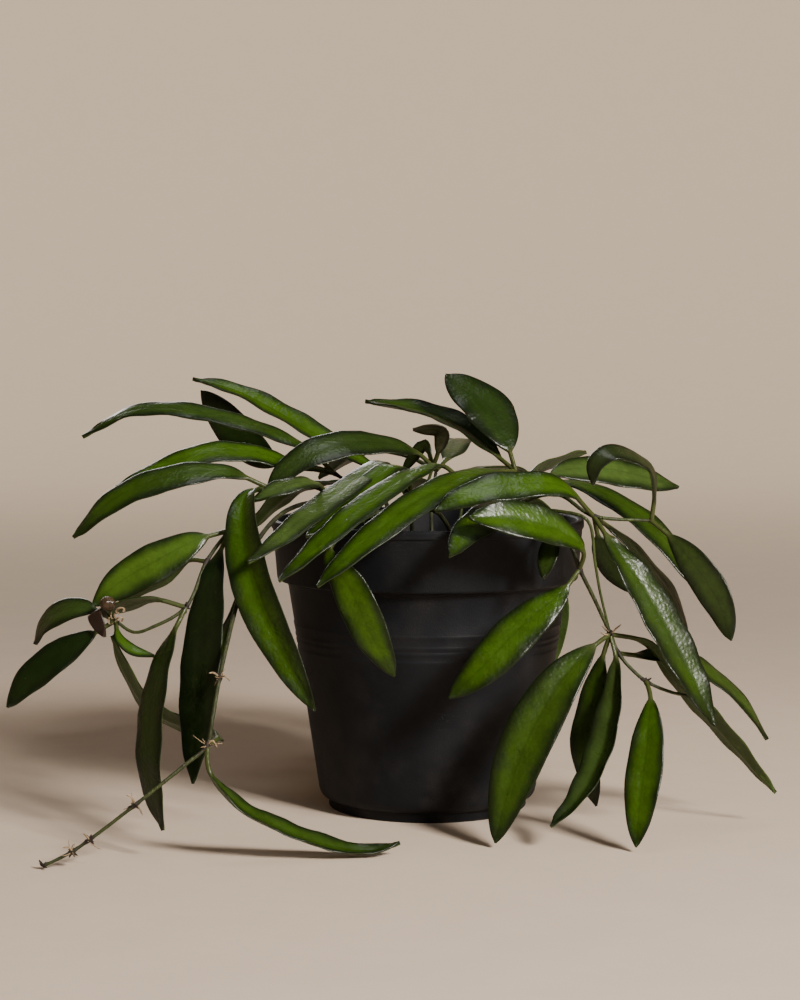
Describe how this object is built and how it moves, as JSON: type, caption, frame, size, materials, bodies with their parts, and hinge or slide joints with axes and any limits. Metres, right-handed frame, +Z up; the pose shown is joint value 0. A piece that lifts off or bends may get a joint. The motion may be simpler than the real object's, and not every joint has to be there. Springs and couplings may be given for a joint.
{
  "type": "potted hoya plant",
  "caption": "Potted hoya: a black tapered nursery pot filled with soil, with long trailing stems and glossy lance-shaped leaves that arch over the rim and hang down around it.",
  "frame": {"origin": "centre of the pot's flat underside, on the surface that it stands on", "axes": "+Z up, out of the pot; -Y is the front of the plant, where the stems trail forwards; +X is to the right seen from the front"},
  "size_m": [0.2888, 0.2259, 0.1724],
  "materials": {
    "pot_plastic": "satin black moulded plastic with faint scuffs",
    "potting_soil": "dark bark and coir potting mix, rough and matt",
    "foliage": "waxy, leathery green leaves with dark margins on green and brown stems"
  },
  "bodies": {
    "root": {"pot": "pot_plastic", "soil": "potting_soil", "vine_left": "foliage", "vine_trailing": "foliage", "vine_upper_left": "foliage", "vine_centre": "foliage", "vine_front": "foliage", "vine_crown": "foliage", "vine_right_upper": "foliage", "vine_right_hanging": "foliage", "vine_far_right": "foliage", "vine_back_middle": "foliage", "vine_back_left": "foliage", "vine_back_right": "foliage"}
  },
  "joints": []
}
